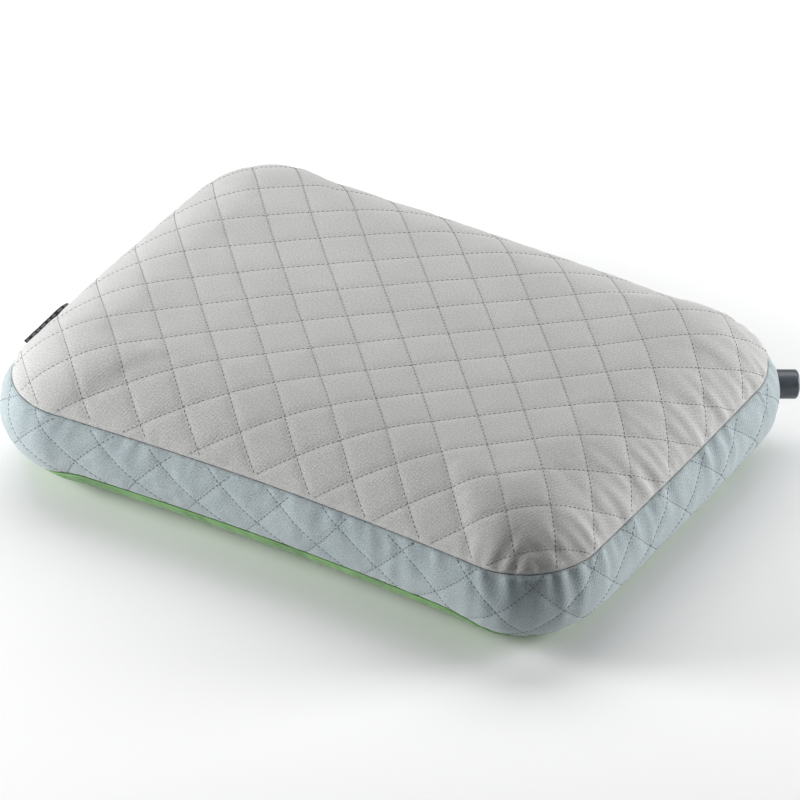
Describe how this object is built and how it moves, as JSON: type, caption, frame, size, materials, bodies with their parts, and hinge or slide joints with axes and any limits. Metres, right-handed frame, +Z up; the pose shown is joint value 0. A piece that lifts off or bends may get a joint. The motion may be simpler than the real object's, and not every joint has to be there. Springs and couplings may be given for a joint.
{
  "type": "self-inflating camp pillow",
  "caption": "Quilted self-inflating camp pillow with a foam core in a bladder, a twist valve at one corner and a zipped cover.",
  "frame": {"origin": "centre of the flat underside that the pillow rests on", "axes": "+Z up out of the pillow; +X along its long side towards the end with the valve; -Y towards the waisted front, +Y towards the zip"},
  "size_m": [0.4652, 0.3463, 0.1118],
  "materials": {
    "brushed_face_cloth": "brushed polyester twill, light grey, matte",
    "band_face_cloth": "brushed polyester twill, cool blue-grey, matte",
    "base_cloth": "plain-woven polyester, green, matte",
    "wadding": "lofted polyester wadding, matte",
    "coated_skin": "coated polyester film fabric, satin",
    "foam": "open-cell polyurethane foam, matte",
    "moulded_valve": "black moulded ABS, satin",
    "valve_rubber": "black rubber, matte",
    "label_weave": "black woven label with plain grey marks, matte",
    "zip_tape": "woven polyester tape, dark grey, matte",
    "zip_coil": "polyester coil, satin",
    "zip_metal": "die-cast zinc, satin"
  },
  "bodies": {
    "root": {"cover_top_panel": "brushed_face_cloth", "top_wadding": "wadding", "cover_side_band": "band_face_cloth", "band_wadding": "wadding", "cover_base_panel": "base_cloth", "bladder_upper_skin": "coated_skin", "bladder_lower_skin": "coated_skin", "foam_core": "foam", "valve_body": "moulded_valve", "valve_plug_seal": "valve_rubber", "zip_tape_upper": "zip_tape", "zip_tape_lower": "zip_tape", "zip_coil_upper": "zip_coil", "zip_coil_lower": "zip_coil", "zip_bottom_stop": "zip_metal", "zip_top_stop_upper": "zip_metal", "zip_top_stop_lower": "zip_metal", "label": "label_weave"},
    "valve_seal_ring": {"valve_o_ring": "valve_rubber"},
    "valve_cap": {"valve_cap": "moulded_valve"},
    "zip_slider": {"zip_slider": "zip_metal"},
    "zip_pull": {"zip_pull_tab": "zip_metal"}
  },
  "joints": [
    {"name": "valve_rise", "type": "slide", "parent": "root", "child": "valve_seal_ring", "axis": [0.7368, 0.6634, -0.1305], "range_m": [0, 0.0035]},
    {"name": "valve_turn", "type": "hinge", "parent": "valve_seal_ring", "child": "valve_cap", "pos_m": [0.21547, 0.1526, 0.04217], "axis": [0.7368, 0.6634, -0.1305], "range_deg": [0, 270]},
    {"name": "zip_slide", "type": "slide", "parent": "root", "child": "zip_slider", "axis": [-1, 0, 0], "range_m": [0, 0.258]},
    {"name": "pull_swing", "type": "hinge", "parent": "zip_slider", "child": "zip_pull", "pos_m": [0.1307, 0.1754, 0.0438], "axis": [0, 0, -1], "range_deg": [0, 170]}
  ],
  "couplings": [
    {"joint": "valve_turn", "follows": "valve_rise", "rad_per_m": 1346.4}
  ]
}
